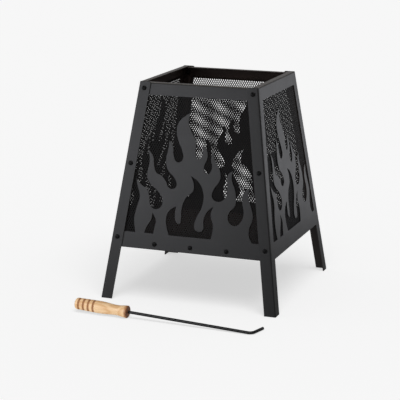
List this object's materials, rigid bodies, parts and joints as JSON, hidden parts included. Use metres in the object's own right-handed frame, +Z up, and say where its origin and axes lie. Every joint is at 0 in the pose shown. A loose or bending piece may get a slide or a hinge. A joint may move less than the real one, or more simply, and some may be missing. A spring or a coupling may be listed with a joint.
{
  "type": "fire pit",
  "caption": "Tapered square fire pit of black sheet steel on angle legs: flame-cut panels over expanded-metal nets, a base tray, and a poker with a turned wooden handle.",
  "frame": {"origin": "on the floor, under the middle of the set's box: the pit's own vertical axis is at x 3.5 mm and y 64.0 mm, because the poker lies in front of it", "axes": "+Z up, -Y towards the front panel and the poker, +X to the right as seen from the front"},
  "size_m": [0.419, 0.5356, 0.48],
  "materials": {
    "black_paint": "matt heat-proof paint",
    "net_paint": "matt heat-proof paint",
    "tray_paint": "matt, dulled by heat",
    "black_fastener": "black oxide, satin",
    "black_bar": "black, satin",
    "turned_wood": "light turned wood, clear lacquer, dark burnt grooves"
  },
  "bodies": {
    "pit": {"leg_front_left": "black_paint", "leg_front_right": "black_paint", "leg_rear_right": "black_paint", "leg_rear_left": "black_paint", "front_panel": "black_paint", "right_panel": "black_paint", "rear_panel": "black_paint", "left_panel": "black_paint", "front_net": "net_paint", "right_net": "net_paint", "rear_net": "net_paint", "left_net": "net_paint", "base_tray": "tray_paint", "front_left_leg_bolt_low": "black_fastener", "front_left_leg_bolt_middle": "black_fastener", "front_left_leg_bolt_high": "black_fastener", "front_right_leg_bolt_low": "black_fastener", "front_right_leg_bolt_middle": "black_fastener", "front_right_leg_bolt_high": "black_fastener", "front_base_bolt_left": "black_fastener", "front_base_bolt_middle": "black_fastener", "front_base_bolt_right": "black_fastener", "rear_left_leg_bolt_low": "black_fastener", "rear_left_leg_bolt_middle": "black_fastener", "rear_left_leg_bolt_high": "black_fastener", "rear_right_leg_bolt_low": "black_fastener", "rear_right_leg_bolt_middle": "black_fastener", "rear_right_leg_bolt_high": "black_fastener", "rear_base_bolt_left": "black_fastener", "rear_base_bolt_middle": "black_fastener", "rear_base_bolt_right": "black_fastener", "front_left_leg_nut_low": "black_fastener", "front_left_leg_nut_middle": "black_fastener", "front_left_leg_nut_high": "black_fastener", "front_right_leg_nut_low": "black_fastener", "front_right_leg_nut_middle": "black_fastener", "front_right_leg_nut_high": "black_fastener", "front_base_nut_left": "black_fastener", "front_base_nut_middle": "black_fastener", "front_base_nut_right": "black_fastener", "rear_left_leg_nut_low": "black_fastener", "rear_left_leg_nut_middle": "black_fastener", "rear_left_leg_nut_high": "black_fastener", "rear_right_leg_nut_low": "black_fastener", "rear_right_leg_nut_middle": "black_fastener", "rear_right_leg_nut_high": "black_fastener", "rear_base_nut_left": "black_fastener", "rear_base_nut_middle": "black_fastener", "rear_base_nut_right": "black_fastener"},
    "poker": {"poker_handle": "turned_wood", "poker_rod": "black_bar"}
  },
  "joints": [
    {"name": "poker_lift", "type": "slide", "parent": "pit", "child": "poker", "axis": [0, 0, 1], "range_m": [0, 0.52]}
  ]
}
